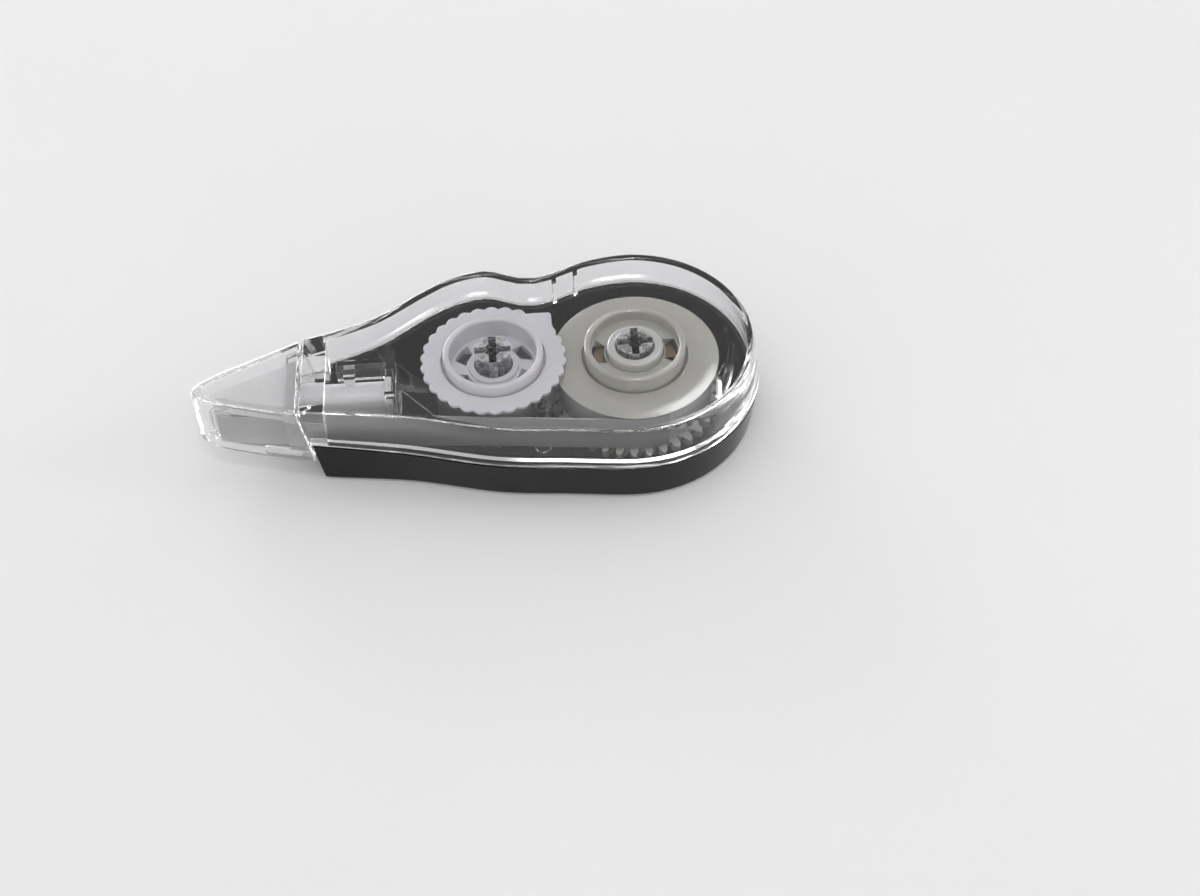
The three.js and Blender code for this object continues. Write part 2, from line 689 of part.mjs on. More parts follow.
// An upright ribbon of the film's width along a plan path.
function ribbon(path) {
  const left = [];
  const right = [];
  path.forEach(([x, y], i) => {
    const [ax, ay] = path[Math.max(i - 1, 0)];
    const [bx, by] = path[Math.min(i + 1, path.length - 1)];
    const normal = new THREE.Vector2(ay - by, bx - ax).normalize().multiplyScalar(FILM_T / 2);
    left.push([x + normal.x, y + normal.y]);
    right.unshift([x - normal.x, y - normal.y]);
  });
  return prism([...right, ...left], FILM_Z, FILM_TOP);
}

function arc(cx, cy, radius, from, to, steps) {
  const points = [];
  for (let i = 0; i <= steps; i += 1) {
    points.push(polar(cx, cy, radius, from + ((to - from) * i) / steps));
  }
  return points;
}

// Offset of the film from the head's axis beside the wedge.
function flankOffset(x) {
  const share = (x - HEAD_FRONT_X) / HEAD_LENGTH;
  const front = WEDGE_FRONT_HALF + SEAT_GAP;
  return front + (WEDGE_REAR_HALF - front) * share + FILM_OFFSET;
}

// Full run of the coated film: supply roll, past the guide sleeve, near side of the head, tip.
function feedFilm() {
  const tipSide = TIP_T / 2 + FILM_OFFSET;
  return ribbon([
    ...arc(SUPPLY_X, 0, SUPPLY_ROLL_R + FILM_OFFSET, -70, -95, 5),
    beside(HEAD_REAR_X, -flankOffset(HEAD_REAR_X)),
    beside(HEAD_FRONT_X, -flankOffset(HEAD_FRONT_X)),
    beside(TIP_X + 0.4, -tipSide),
  ]);
}

// Bare liner: round the tip, far side of the head, return post, take-up roll.
function returnFilm() {
  const tipSide = TIP_T / 2 + FILM_OFFSET;
  const postR = RETURN_POST_R + FILM_OFFSET;
  const rollR = TAKE_UP_ROLL_R + FILM_OFFSET;
  const apart = Math.hypot(RETURN_POST_X, RETURN_POST_Y);
  const bearing = THREE.MathUtils.radToDeg(Math.atan2(-RETURN_POST_Y, -RETURN_POST_X));
  const crossing = THREE.MathUtils.radToDeg(Math.acos((postR + rollR) / apart));
  const leave = bearing + crossing;
  return ribbon([
    beside(TIP_X - FILM_OFFSET, -TIP_EDGE_T),
    beside(TIP_X - FILM_OFFSET, TIP_EDGE_T),
    beside(TIP_X + 0.4, tipSide),
    beside(HEAD_FRONT_X, flankOffset(HEAD_FRONT_X)),
    beside(HEAD_REAR_X, flankOffset(HEAD_REAR_X)),
    ...arc(RETURN_POST_X, RETURN_POST_Y, postR, 102, leave, 5),
    ...arc(0, 0, rollR, leave + 180, leave + 215, 5),
  ]);
}

// Take-up reel

function takeUpSpool() {
  const inner = TAKE_UP_DRUM_R - HUB_RING_WALL;
  const ringInner = TAKE_UP_RING_R - HUB_RING_WALL;
  const webTop = HUB_TOP - TAKE_UP_WEB_DROP;
  const sleeveR = BORE_R + TAKE_UP_SLEEVE_T;
  const body = revolve([
    [BORE_R, GEAR_TOP - 0.4], [TAKE_UP_NECK_R, GEAR_TOP - 0.4],
    [TAKE_UP_NECK_R, GEAR_TOP + SEAT_GAP], [TAKE_UP_DRUM_R, GEAR_TOP + SEAT_GAP],
    [TAKE_UP_DRUM_R, TAKE_UP_SHOULDER],
    [TAKE_UP_RING_R, TAKE_UP_SHOULDER], [TAKE_UP_RING_R, HUB_TOP], [ringInner, HUB_TOP],
    [ringInner, webTop], [sleeveR, webTop], [sleeveR, webTop + 0.6], [BORE_R, webTop + 0.6],
  ]);
  const hollow = revolve([
    [sleeveR, GEAR_TOP], [TAKE_UP_NECK_R - HUB_RING_WALL, GEAR_TOP],
    [TAKE_UP_NECK_R - HUB_RING_WALL, GEAR_TOP + 1], [inner, GEAR_TOP + 1.6],
    [inner, webTop - TAKE_UP_WEB_T],
    [sleeveR, webTop - TAKE_UP_WEB_T],
  ]);
  const windows = [];
  for (let i = 0; i < TAKE_UP_WINDOWS; i += 1) {
    const middle = ((i + 0.5) * 360) / TAKE_UP_WINDOWS;
    windows.push(ringSector(sleeveR + 0.35, ringInner - 0.35, middle, 204 / TAKE_UP_WINDOWS,
      webTop - TAKE_UP_WEB_T - 0.5, webTop + 0.5));
  }
  return cut(body, [hollow, ...windows]).add(gearPlate(TAKE_UP_TEETH, 0, 0));
}

// Thin disc with a scalloped rim and one pointed tab, pressed round the hub ring.
function takeUpFlange() {
  const rim = [];
  const steps = SCALLOPS * 5;
  for (let i = 0; i < steps; i += 1) {
    const degrees = (i * 360) / steps;
    const wave = Math.abs(Math.sin((THREE.MathUtils.degToRad(degrees) * SCALLOPS) / 2));
    const away = Math.abs(degrees - HORN_ANGLE) / HORN_SPREAD;
    const scallop = TAKE_UP_FLANGE_R - SCALLOP_DEPTH + SCALLOP_DEPTH * wave;
    const horn = away < 1 ? TAKE_UP_FLANGE_R + (HORN_R - TAKE_UP_FLANGE_R) * (1 - away) ** 1.3 : 0;
    rim.push(polar(0, 0, Math.max(scallop, horn), degrees));
  }
  return prism(rim, TAKE_UP_FLANGE_Z, TAKE_UP_FLANGE_Z + TAKE_UP_FLANGE_T,
    [circle(0, 0, TAKE_UP_RING_R + SEAT_GAP)]);
}

function takeUpRoll() {
  return tube(TAKE_UP_DRUM_R + SEAT_GAP, TAKE_UP_ROLL_R, FILM_Z, FILM_TOP);
}

// Supply reel

function supplyGear() {
  const sleeve = tube(BORE_R, BORE_R + SUPPLY_SLEEVE_T, GEAR_Z, HUB_TOP - SUPPLY_SLEEVE_DROP, SUPPLY_X);
  return gearPlate(SUPPLY_TEETH, Math.PI / SUPPLY_TEETH, SUPPLY_X).add(sleeve);
}

function supplySpool() {
  const inner = SUPPLY_DRUM_R - HUB_RING_WALL;
  const ringInner = SUPPLY_RING_R - HUB_RING_WALL;
  const bore = BORE_R + SUPPLY_SLEEVE_T + RUN_GAP;
  const webTop = HUB_TOP - SUPPLY_WEB_DROP;
  const low = GEAR_TOP + SEAT_GAP;
  const body = revolve([
    [bore, low], [SUPPLY_DRUM_R, low], [SUPPLY_DRUM_R, FILM_TOP], [SUPPLY_RING_R, FILM_TOP],
    [SUPPLY_RING_R, HUB_TOP], [ringInner, HUB_TOP], [ringInner, webTop], [bore, webTop],
  ], SUPPLY_X);
  const hollow = revolve([
    [bore - 0.5, low + SUPPLY_WEB_T], [inner, low + SUPPLY_WEB_T], [inner, FILM_TOP - 0.6],
    [ringInner, FILM_TOP], [ringInner, webTop - SUPPLY_WEB_T], [bore - 0.5, webTop - SUPPLY_WEB_T],
  ], SUPPLY_X);
  const windows = [0, 180].map((middle) => ringSector(bore + 0.2, ringInner - 0.15, middle,
    SUPPLY_WINDOW_SPAN, webTop - SUPPLY_WEB_T - 0.5, webTop + 0.5, SUPPLY_X));
  return cut(body, [hollow, ...windows]);
}

// Split spring band round the gear's sleeve; its two bowed arms rub inside the spool.
function slipClutch() {
  const bandInner = BORE_R + SUPPLY_SLEEVE_T + SEAT_GAP;
  const bandOuter = bandInner + CLUTCH_BAND_T;
  const reach = SUPPLY_RING_R - HUB_RING_WALL - SEAT_GAP;
  const top = HUB_TOP - SUPPLY_WEB_DROP - SUPPLY_WEB_T - SEAT_GAP;
  const rim = [];
  for (let i = 0; i < REEL_SEGMENTS; i += 1) {
    const degrees = (i * 360) / REEL_SEGMENTS;
    const fromArm = Math.min(degrees, 360 - degrees, Math.abs(degrees - 180));
    const swell = Math.max(0, Math.cos((Math.PI / 2) * (fromArm / CLUTCH_ARM_SPAN)));
    const share = fromArm < CLUTCH_ARM_SPAN ? swell : 0;
    rim.push(polar(SUPPLY_X, 0, bandOuter + (reach - bandOuter) * share, degrees));
  }
  return prism(rim, top - CLUTCH_HEIGHT, top, [circle(SUPPLY_X, 0, bandInner)]);
}

// Flat guide disc with a softly rounded rim, pressed round the hub ring.
function supplyFlange() {
  const z0 = SUPPLY_FLANGE_Z;
  const z1 = SUPPLY_FLANGE_TOP;
  const bore = SUPPLY_RING_R + SEAT_GAP;
  return revolve([
    [bore, z0], [SUPPLY_FLANGE_R - 0.15, z0], [SUPPLY_FLANGE_R, z0 + 0.2],
    [SUPPLY_FLANGE_R, z1 - 0.2], [SUPPLY_FLANGE_R - 0.2, z1], [bore, z1],
  ], SUPPLY_X, 0, 60);
}

function supplyRoll() {
  return tube(SUPPLY_DRUM_R + SEAT_GAP, SUPPLY_ROLL_R, FILM_Z, FILM_TOP, SUPPLY_X, 0, 56);
}

// Scene

function clearPlastic(color, opacity) {
  return new THREE.MeshStandardMaterial({
    color, roughness: 0.08, metalness: 0, transparent: true, opacity,
  });
}

function plastic(color, roughness) {
  return new THREE.MeshStandardMaterial({ color, roughness, metalness: 0 });
}

function addPiece(group, name, solid, material) {
  const mesh = new THREE.Mesh(toGeometry(solid), material);
  mesh.name = name;
  group.add(mesh);
}

function correctionTape() {
  const group = new THREE.Group();
  const film = plastic(0xf2f1f4, 0.6);
  addPiece(group, 'lower_case', lowerCase(), plastic(0x1b1a1d, 0.12));
  addPiece(group, 'upper_case', upperCase(), clearPlastic(0xdedde4, 0.3));
  addPiece(group, 'film_guide_sleeve', filmGuideSleeve(), clearPlastic(0xe4e4e8, 0.4));
  addPiece(group, 'cap', cap(), clearPlastic(0xe2dfe4, 0.3));
  addPiece(group, 'applicator_head', applicatorHead(), plastic(0xe6e4ea, 0.35));
  addPiece(group, 'applicator_tip', applicatorTip(), clearPlastic(0xe9e0e2, 0.6));
  addPiece(group, 'feed_film', feedFilm(), film);
  addPiece(group, 'return_film', returnFilm(), clearPlastic(0xe8e6e6, 0.35));
  addPiece(group, 'take_up_spool', takeUpSpool(), plastic(0xd9d6de, 0.3));
  addPiece(group, 'take_up_flange', takeUpFlange(), plastic(0xdcdae2, 0.3));
  addPiece(group, 'take_up_roll', takeUpRoll(), plastic(0xdddad8, 0.5));
  addPiece(group, 'supply_gear', supplyGear(), plastic(0xc9c6bd, 0.3));
  addPiece(group, 'supply_spool', supplySpool(), plastic(0xcbc8bf, 0.3));
  addPiece(group, 'supply_flange', supplyFlange(), plastic(0xc4c1b8, 0.25));
  addPiece(group, 'slip_clutch', slipClutch(), plastic(0xa8794a, 0.4));
  addPiece(group, 'supply_roll', supplyRoll(), film);
  return group;
}

const group = correctionTape();
export default group;
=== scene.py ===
# %% [markdown]
# A correction tape is a flat case with a clear top, so nearly all of its works can be seen:
# two geared reels, the film between them, and the white head that presses the film on to the
# paper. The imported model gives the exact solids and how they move. This script gives them
# their plastics, their softened edges and round crowns, and the sloped rim of the large disc.

# %% Load the frame
import bpy
import json
import math
from mathutils import Matrix, Vector

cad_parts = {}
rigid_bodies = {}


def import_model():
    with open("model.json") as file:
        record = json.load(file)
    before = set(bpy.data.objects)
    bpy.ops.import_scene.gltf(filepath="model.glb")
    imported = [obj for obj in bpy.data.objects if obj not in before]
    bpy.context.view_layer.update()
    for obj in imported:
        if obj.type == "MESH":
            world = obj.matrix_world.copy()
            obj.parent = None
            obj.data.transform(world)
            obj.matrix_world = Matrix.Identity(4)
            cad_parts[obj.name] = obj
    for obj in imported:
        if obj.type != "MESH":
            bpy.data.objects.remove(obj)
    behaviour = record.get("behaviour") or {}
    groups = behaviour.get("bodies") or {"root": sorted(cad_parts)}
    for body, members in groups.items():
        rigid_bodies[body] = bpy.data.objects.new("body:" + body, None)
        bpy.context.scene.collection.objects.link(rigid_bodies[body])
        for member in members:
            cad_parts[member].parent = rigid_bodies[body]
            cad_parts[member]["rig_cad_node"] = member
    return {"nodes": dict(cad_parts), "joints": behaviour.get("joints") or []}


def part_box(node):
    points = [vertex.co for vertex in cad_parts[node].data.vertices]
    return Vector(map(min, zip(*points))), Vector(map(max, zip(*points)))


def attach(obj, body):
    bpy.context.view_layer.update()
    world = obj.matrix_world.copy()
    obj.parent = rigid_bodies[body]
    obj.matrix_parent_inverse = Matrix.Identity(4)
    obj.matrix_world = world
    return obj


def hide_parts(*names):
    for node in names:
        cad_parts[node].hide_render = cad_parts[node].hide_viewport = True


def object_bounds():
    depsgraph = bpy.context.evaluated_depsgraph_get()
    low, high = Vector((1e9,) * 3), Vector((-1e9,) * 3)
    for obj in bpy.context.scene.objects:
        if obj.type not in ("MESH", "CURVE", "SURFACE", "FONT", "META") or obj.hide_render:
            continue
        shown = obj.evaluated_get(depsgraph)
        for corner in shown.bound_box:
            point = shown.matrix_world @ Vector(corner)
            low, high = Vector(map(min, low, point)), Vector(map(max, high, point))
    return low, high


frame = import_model()
cad_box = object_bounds()
MM = 0.001
size_mm = [round((high - low) / MM, 1) for low, high in zip(*cad_box)]
print("solids loaded:", len(frame["nodes"]), "box in mm:", size_mm)

# %% [markdown]
# The camera stands where the photo was taken from: in front of the near side, about 49
# degrees up, a quarter of a metre away. The same place and the same lens give the same
# perspective. Light that enters a clear wall is thrown to and fro inside it many times before
# it leaves, so the paths are allowed more bounces than usual. With fewer, clear edges turn
# black.

# %% Place the camera
CAMERA_PLACE = Vector((0.00672, -0.17417, 0.19278))
CAMERA_RIGHT = Vector((0.9977, -0.0639, -0.0211))
CAMERA_UP = Vector((0.0621, 0.7537, 0.6543))
BOUNCES = 24

scene = bpy.context.scene
camera_data = bpy.data.cameras.new("camera")
camera_data.sensor_width = 36
camera_data.lens = 57.62
camera_data.clip_start = 0.01
camera_data.clip_end = 10
camera = bpy.data.objects.new("camera", camera_data)
scene.collection.objects.link(camera)
turn = Matrix((CAMERA_RIGHT, CAMERA_UP, CAMERA_RIGHT.cross(CAMERA_UP))).transposed()
camera.matrix_world = Matrix.Translation(CAMERA_PLACE) @ turn.to_4x4()
scene.camera = camera
scene.view_settings.view_transform = "Standard"
for limit in ("max_bounces", "glossy_bounces", "transmission_bounces"):
    setattr(scene.cycles, limit, BOUNCES)
print("camera height in mm:", round(camera.location.z / MM))

# %% [markdown]
# Node maths reads best as plain arithmetic. A Value wraps one output of a node, so that
# `1 - mask` or `height * 0.3` adds the Math node itself.

# %% Write shader sums as plain arithmetic
class Value:
    """One output of a node that can be added, multiplied and compared."""

    def __init__(self, tree, socket):
        self.tree = tree
        self.socket = socket

    def math(self, operation, *others):
        """The value after one step of a Math node."""
        return self.tree.arithmetic(operation, self, *others)

    def __add__(self, other):
        return self.math("ADD", other)

    def __mul__(self, other):
        return self.math("MULTIPLY", other)

    def __sub__(self, other):
        return self.math("SUBTRACT", other)

    def __rsub__(self, other):
        return self.tree.arithmetic("SUBTRACT", other, self)

    __radd__ = __add__
    __rmul__ = __mul__

    def above(self, edge, blur):
        """0 below the edge and 1 above it, with a soft step of the given width."""
        return self.tree.node(
            "ShaderNodeMapRange", {"interpolation_type": "SMOOTHSTEP"},
            {"Value": self, "From Min": edge - blur / 2, "From Max": edge + blur / 2})


print("helper ready: Value")

# %% [markdown]
# A NodeTree is the material or the sky that the nodes are in. One method, `node`, adds them
# all: it takes the node's type, its settings, and what goes into its sockets, which are given
# by name or by number. The other methods are short names for the nodes that are used most.

# %% Add nodes to a material or a sky
class NodeTree:
    """Adds nodes to one material or sky."""

    def __init__(self, tree):
        self.tree = tree

    def put(self, socket, value):
        """Links a Value to a socket, or types a plain number or colour into it."""
        if isinstance(value, Value):
            self.tree.links.new(value.socket, socket)
        else:
            socket.default_value = value

    def node(self, kind, settings, sockets, output=0):
        """Adds a node with its settings, fills its sockets and gives one of its outputs."""
        added = self.tree.nodes.new(kind)
        for setting, value in settings.items():
            setattr(added, setting, value)
        for socket, value in sockets.items():
            self.put(added.inputs[socket], value)
        return Value(self, added.outputs[output])

    def arithmetic(self, operation, *values):
        """One Math node on values or plain numbers."""
        return self.node("ShaderNodeMath", {"operation": operation}, dict(enumerate(values)))

    def mix(self, share, first, second):
        """A colour between two colours."""
        return self.node("ShaderNodeMix", {"data_type": "RGBA"},
                         {0: share, 6: first, 7: second}, output=2)

    def ray(self, question):
        """One answer of Light Path about the ray that arrives."""
        return self.node("ShaderNodeLightPath", {}, {}, output=question)

    def looked_at(self):
        """1 where the camera, a reflection or clear plastic looks, and 0 for plain light."""
        direct = self.ray("Is Camera Ray").math("MAXIMUM", self.ray("Is Glossy Ray"))
        direct = direct.math("MAXIMUM", self.ray("Is Transmission Ray"))
        return direct * self.ray("Diffuse Depth").math("LESS_THAN", 0.5)


print("helper ready: NodeTree")

# %% [markdown]
# A Finish is one material: a shader whose sockets are set by name, fed by soft random clouds.
# Every pattern in it comes from the point's own place on the piece, so it stays where it is
# on the piece when the piece moves. Some finishes change close to an axle. There the distance
# from the axle makes a mask, and the roof above the axle is left out of it.

# %% Write a finish
CASE_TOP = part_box("upper_case")[1].z
ROOF_GUARD = 0.8 * MM


class Finish(NodeTree):
    """One material, named for the surface that it is on."""

    def __init__(self, name, **sockets):
        self.material = bpy.data.materials.new(name)
        self.material.use_nodes = True
        super().__init__(self.material.node_tree)
        self.shader = self.tree.nodes["Principled BSDF"]
        self.place = self.node("ShaderNodeTexCoord", {}, {}, output="Object")
        for socket, value in sockets.items():
            self.set(socket.replace("_", " "), value)

    def set(self, socket, value):
        """Sets or links one of the shader's own sockets."""
        self.put(self.shader.inputs[socket], value)

    def noise(self, per_metre, detail=2.0, stretch=(1, 1, 1)):
        """Soft random clouds from 0 to 1, about so many to the metre."""
        spread = self.node("ShaderNodeMapping", {}, {"Vector": self.place, "Scale": stretch})
        return self.node("ShaderNodeTexNoise", {},
                         {"Vector": spread, "Scale": per_metre, "Detail": detail})

    def bump(self, height, depth):
        """Raises the surface by height times depth in metres."""
        self.set("Normal", self.node("ShaderNodeBump", {}, {
            "Strength": 1.0, "Distance": depth, "Height": height}))

    def blend(self, share, colour, roughness):
        """Mixes a plain milky plastic into the surface, by a share from 0 to 1."""
        plain = Value(self, self.shader.outputs[0])
        milky = self.node("ShaderNodeBsdfPrincipled", {},
                          {"Base Color": colour, "Roughness": roughness})
        blended = self.node("ShaderNodeMixShader", {}, {0: share, 1: plain, 2: milky})
        self.put(self.tree.nodes["Material Output"].inputs["Surface"], blended)

    def along(self, axis):
        """The point's place along X, Y or Z, in metres."""
        return self.node("ShaderNodeSeparateXYZ", {}, {0: self.place}, output=axis)

    def off_axle(self, axle_x):
        """The distance from a reel's upright axle, in metres."""
        across, aside = self.along("X") - axle_x, self.along("Y")
        return (across * across + aside * aside).math("SQRT")

    def near_axle(self, axle_x, radius):
        """1 inside the given radius round a reel's axle and below the roof, else 0."""
        below_roof = self.along("Z").math("LESS_THAN", CASE_TOP - ROOF_GUARD)
        return self.off_axle(axle_x).math("LESS_THAN", radius) * below_roof


print("helper ready: Finish")

# %% [markdown]
# The floor is one wide pale plane, just under the case. Where it is looked at, a faint glow
# lifts it a little towards white, without giving the object any more light. It takes the
# object's shadow. From below the plane is see-through, so that the underside of the case can
# be looked at too.

# %% Lay the floor
FLOOR_GAP = 0.05 * MM
FLOOR_GLOW = 0.06

bpy.ops.mesh.primitive_plane_add(size=4, location=(0, 0, -FLOOR_GAP))
floor = bpy.context.object
floor.name = "floor"
floor_finish = Finish("pale_floor", Roughness=0.85, Emission_Strength=1.0)
floor_finish.set("Base Color", floor_finish.mix(
    floor_finish.noise(per_metre=14), (0.76, 0.76, 0.77, 1), (0.80, 0.80, 0.81, 1)))
floor_finish.set("Emission Color", floor_finish.mix(
    floor_finish.looked_at(), (0, 0, 0, 1), (FLOOR_GLOW, FLOOR_GLOW, FLOOR_GLOW, 1)))
floor_finish.set("Alpha", 1 - floor_finish.node(
    "ShaderNodeNewGeometry", {}, {}, output="Backfacing"))
floor.data.materials.append(floor_finish.material)
print("floor laid, below the case by mm:", round(FLOOR_GAP / MM, 2))

# %% [markdown]
# What lights the object and what it mirrors are set apart. The sky lights everything at one
# plain level. What polished plastic mirrors is a pale horizon that dims towards the top, so
# that the flat clear roof doesn't turn milky. Three bright round patches stand for lights
# further away. Only reflections and clear plastic see them. They draw the white arcs on the
# round crowns and the bright lines along the case, and none of them lies where the flat roof
# would mirror it into the camera.

# %% Build the sky
SKY_LEVEL = 0.80
HORIZON_LEVEL = 0.9
CEILING_LEVEL = 0.50
CEILING_EDGE = 0.42
CEILING_BLUR = 0.4
PATCH_BLUR = 0.03
# Each patch is the way to it, its radius in degrees and its level.
BRIGHT_PATCHES = (((-0.50, 0.85, 0.10), 28, 10),
                  ((0.05, -0.45, 0.89), 12, 18),
                  ((0.267, 0.480, 0.838), 9, 14))

world = bpy.data.worlds.new("sky")
scene.world = world
world.use_nodes = True
sky = NodeTree(world.node_tree)
direction = sky.node("ShaderNodeTexCoord", {}, {}, output="Generated")
height = sky.node("ShaderNodeSeparateXYZ", {}, {0: direction}, output="Z")
to_ceiling = height.above(CEILING_EDGE, CEILING_BLUR)
mirrored = HORIZON_LEVEL + (CEILING_LEVEL - HORIZON_LEVEL) * to_ceiling
mirror_only = 1 - sky.ray("Is Camera Ray")
for aim, radius, level in BRIGHT_PATCHES:
    facing = sky.node("ShaderNodeVectorMath", {"operation": "DOT_PRODUCT"},
                      {0: direction, 1: Vector(aim).normalized()}, output="Value")
    patch = facing.above(math.cos(math.radians(radius)), PATCH_BLUR) * mirror_only
    mirrored = mirrored + patch * level
looked_at = sky.looked_at()
background = world.node_tree.nodes["Background"]
sky.put(background.inputs["Color"], (1, 1, 1, 1))
sky.put(background.inputs["Strength"],
        looked_at * mirrored + (1 - looked_at) * SKY_LEVEL)
print("sky ready, bright patches:", len(BRIGHT_PATCHES))

# %% [markdown]
# Three small soft lamps give the light a direction: a window low on the far left, a lamp
# overhead and a weaker one at the tail. They are dim beside the sky, so the shadow on the
# floor stays soft and a colour renders about as it is written.

# %% Hang the lamps
OBJECT_MIDDLE = Vector((0, 0, 0.006))


def soft_lamp(name, place, width, height, power):
    """A rectangular lamp that shines from its place on to the object."""
    lamp_data = bpy.data.lights.new(name, "AREA")
    lamp_data.shape = "RECTANGLE"
    lamp_data.size = width
    lamp_data.size_y = height
    lamp_data.energy = power
    lamp = bpy.data.objects.new(name, lamp_data)
    scene.collection.objects.link(lamp)
    lamp.location = place
    lamp.rotation_euler = (OBJECT_MIDDLE - Vector(place)).to_track_quat("-Z", "Y").to_euler()


soft_lamp("window", (-0.24, 0.46, 0.17), width=0.24, height=0.07, power=0.45)
soft_lamp("ceiling", (0.02, -0.14, 0.44), width=0.06, height=0.04, power=0.14)
soft_lamp("side", (0.42, -0.02, 0.24), width=0.08, height=0.10, power=0.22)

# %% [markdown]
# The clear parts are polished styrene. Real light bends in them, which draws the bright and
# dark lines along every edge, so they get true transmission rather than thin alpha. Faint
# scratches change the roughness, and a long shallow ripple keeps the reflections from being
# as straight as in glass. The two cross-shaped posts belong to the clear half shell. The real
# ones glint, where plain clear posts would only show the dark floor of the case. A frosting
# with a fine relief, kept to the posts' radius, makes up for that: the posts are rougher and a
# little milky, and patches of milky white colour on them are painted glints.

# %% Mix the clear finishes
axle_places = {joint["name"]: joint["pos_m"][0] for joint in frame["joints"]}
TAKE_UP_AXLE = axle_places["take_up_spin"]
SUPPLY_AXLE = axle_places["supply_spin"]
RIPPLE_DEPTH = 0.00003
POST_RADIUS = 0.00245
POST_ROUGHNESS = 0.2
POST_MILK_AND_GLINT = (0.84, 0.84, 0.86, 1)


def clear_plastic(name, tint, dull_tint, roughness=0.0, frosted_glinting_posts=False):
    """A polished clear finish, with or without frosting and painted glints on the two axle
    posts.
    """
    finish = Finish(name, IOR=1.46, Transmission_Weight=1.0)
    haze = finish.noise(per_metre=900, detail=3.0)
    scratches = finish.noise(per_metre=500, detail=4.0, stretch=(1, 14, 1))
    scratches = scratches.above(edge=0.66, blur=0.08)
    finish.set("Base Color", finish.mix(haze, tint, dull_tint))
    uneven = haze * 0.02 + scratches * 0.06 + roughness
    relief = finish.noise(per_metre=140, detail=1.0) + scratches * 0.05
    if frosted_glinting_posts:
        in_post = (finish.near_axle(TAKE_UP_AXLE, POST_RADIUS)
                   + finish.near_axle(SUPPLY_AXLE, POST_RADIUS))
        uneven = uneven + in_post * POST_ROUGHNESS
        relief = relief + in_post * finish.noise(per_metre=1500, detail=1.0)
        # Painted glints: patches of milky white colour mixed into the posts stand for how the
        # real posts catch the light; the even milky share and the roughness are frosting.
        painted_glints = finish.noise(per_metre=1300, detail=1.0).above(edge=0.52, blur=0.16)
        finish.blend(in_post * (painted_glints * 0.5 + 0.2), POST_MILK_AND_GLINT, POST_ROUGHNESS)
    finish.set("Roughness", uneven)
    finish.bump(relief, RIPPLE_DEPTH)
    return finish


clear_shell = clear_plastic("clear_shell", (0.998, 0.998, 1.0, 1), (0.98, 0.98, 0.99, 1),
                            frosted_glinting_posts=True)
clear_cap = clear_plastic("clear_cap", (0.998, 0.995, 0.998, 1), (0.98, 0.975, 0.98, 1))
clear_small = clear_plastic("clear_small", (0.98, 0.98, 0.985, 1), (0.95, 0.95, 0.96, 1),
                            roughness=0.01)
tip_finish = clear_plastic("tip_clear", (0.95, 0.93, 0.94, 1), (0.88, 0.84, 0.86, 1),
                           roughness=0.18)
liner_finish = clear_plastic("bare_liner", (0.95, 0.95, 0.95, 1), (0.90, 0.90, 0.90, 1),
                             roughness=0.10)
print("axles at x in mm:", round(TAKE_UP_AXLE / MM, 2), round(SUPPLY_AXLE / MM, 2),
      "posts frosted to radius in mm:", round(POST_RADIUS / MM, 2))

# %% [markdown]
# The reels are injection moulded in two tones: cool white for the take-up reel, warm and
# slightly see-through for the supply reel, with a lighter sleeve in its middle. A little
# light passes into such plastic, which subsurface scattering gives. Slow clouds in the colour
# stand for uneven resin, and a very fine grain breaks the gloss. A thin clear coat gives
# polished crowns their white arcs. The bores are painted darker, as painted shade, because
# little light gets down between a post and its bore. The black half shell mirrors less than
# the pale plastics do.

# %% Mix the moulded finishes
GRAIN_DEPTH = 0.000006
BORE_RADIUS = 0.00256
BORE_SHADE = 0.25
BLACK_MIRRORING = 0.24


def moulded(name, light, dark, roughness, depth=0.0, coat=0.0, axle_x=None):
    """A moulded finish. Where an axle is given, the bore round it is painted darker, as
    painted shade.
    """
    finish = Finish(name, IOR=1.5, Subsurface_Weight=depth, Subsurface_Scale=0.0012,
                    Coat_Weight=coat)
    clouds = finish.noise(per_metre=160, detail=3.0)
    grain = finish.noise(per_metre=2600)
    colour = finish.mix(clouds, dark, light)
    if axle_x is not None:
        # Painted shade: the bore round the axle gets a darker copy of the colour, standing for
        # the shade between a post and its bore.
        bore_painted_shade = finish.near_axle(axle_x, BORE_RADIUS)
        colour = finish.mix(bore_painted_shade, colour, [part * BORE_SHADE for part in dark[:3]] + [1])
    finish.set("Base Color", colour)
    finish.set("Roughness", grain * 0.08 + clouds * 0.05 + roughness)
    finish.bump(grain, GRAIN_DEPTH)
    return finish


take_up_finish = moulded("take_up_white", (0.95, 0.94, 0.98, 1), (0.89, 0.87, 0.93, 1),
                         roughness=0.14, depth=0.1, coat=0.3, axle_x=TAKE_UP_AXLE)
supply_finish = moulded("supply_cream", (0.64, 0.63, 0.58, 1), (0.56, 0.55, 0.50, 1),
                        roughness=0.10, depth=0.2, coat=0.6, axle_x=SUPPLY_AXLE)
sleeve_finish = moulded("supply_sleeve", (0.82, 0.82, 0.78, 1), (0.74, 0.74, 0.69, 1),
                        roughness=0.08, depth=0.2, coat=0.8, axle_x=SUPPLY_AXLE)
disc_finish = moulded("supply_disc", (0.62, 0.61, 0.57, 1), (0.53, 0.51, 0.46, 1),
                      roughness=0.10, depth=0.2, coat=0.6)
head_finish = moulded("head_white", (0.97, 0.97, 0.985, 1), (0.93, 0.93, 0.95, 1),
                      roughness=0.2, depth=0.1)
amber_finish = moulded("clutch_amber", (0.36, 0.25, 0.14, 1), (0.26, 0.17, 0.09, 1),
                       roughness=0.3, depth=0.1)
black_finish = moulded("black_shell", (0.012, 0.0115, 0.0135, 1), (0.008, 0.0075, 0.0095, 1),
                       roughness=0.10)
